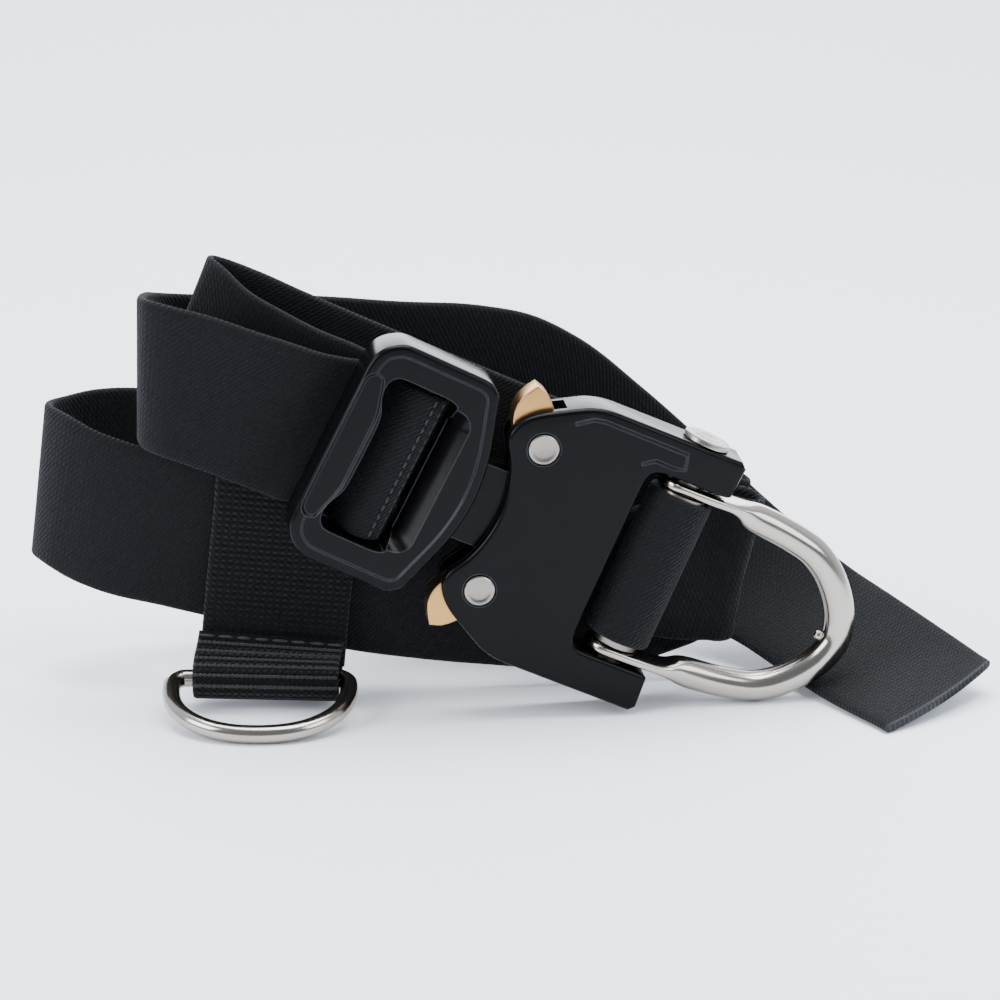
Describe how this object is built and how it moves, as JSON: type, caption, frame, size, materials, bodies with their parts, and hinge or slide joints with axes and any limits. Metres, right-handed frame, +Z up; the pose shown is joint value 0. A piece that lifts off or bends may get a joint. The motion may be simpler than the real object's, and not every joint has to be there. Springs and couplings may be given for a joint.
{
  "type": "rigger belt",
  "caption": "Rigger belt of flat webbing, folded and lying, with a two-lever quick-release buckle, tie-in ring and sewn accessory ring.",
  "frame": {"origin": "centre of the footprint, on the surface that the belt lies on", "axes": "+X along the belt's length towards the tie-in ring and the free end, +Y away from the side with the buckle's face, +Z up"},
  "size_m": [0.2647, 0.0966, 0.1247],
  "materials": {
    "webbing": "woven matt",
    "black_coating": "satin",
    "ring_steel": "polished",
    "pin_steel": "satin",
    "lever_gold": "satin gold"
  },
  "bodies": {
    "belt": {"adjuster_frame": "black_coating", "buckle_body": "black_coating", "cross_pin": "pin_steel", "pin_roller": "pin_steel", "rivet_lower": "pin_steel", "rivet_upper": "pin_steel", "slide_bar": "black_coating", "webbing_back_run": "webbing", "webbing_bar_wrap": "webbing", "webbing_front_run": "webbing", "webbing_front_turn": "webbing", "webbing_left_turn": "webbing", "webbing_lower_run": "webbing", "webbing_pin_eye": "webbing", "webbing_tab": "webbing", "webbing_tail": "webbing", "webbing_upper_run": "webbing", "webbing_upper_turn": "webbing"},
    "tie_in_ring": {"tie_in_ring": "ring_steel"},
    "accessory_ring": {"accessory_ring": "ring_steel"},
    "lever_upper": {"lever_upper": "lever_gold"},
    "lever_lower": {"lever_lower": "lever_gold"}
  },
  "joints": [
    {"name": "tie_in_ring_swing", "type": "hinge", "parent": "belt", "child": "tie_in_ring", "pos_m": [0.03839, -0.01682, 0.0401], "axis": [-0.405, -0.0756, -0.9112], "range_deg": [0, 70]},
    {"name": "accessory_ring_swing", "type": "hinge", "parent": "belt", "child": "accessory_ring", "pos_m": [-0.06771, -0.01843, 0.00832], "axis": [-1, 0, 0], "range_deg": [0, 60]},
    {"name": "lever_upper_press", "type": "hinge", "parent": "belt", "child": "lever_upper", "pos_m": [0.00893, -0.01996, 0.07705], "axis": [0.134, -0.9907, 0.0227], "range_deg": [0, 8], "stiffness_Nm_per_rad": 0.6, "springref_deg": -8.59},
    {"name": "lever_lower_press", "type": "hinge", "parent": "belt", "child": "lever_lower", "pos_m": [-0.00848, -0.02321, 0.03787], "axis": [-0.134, 0.9907, -0.0227], "range_deg": [0, 8], "stiffness_Nm_per_rad": 0.6, "springref_deg": -8.59}
  ]
}
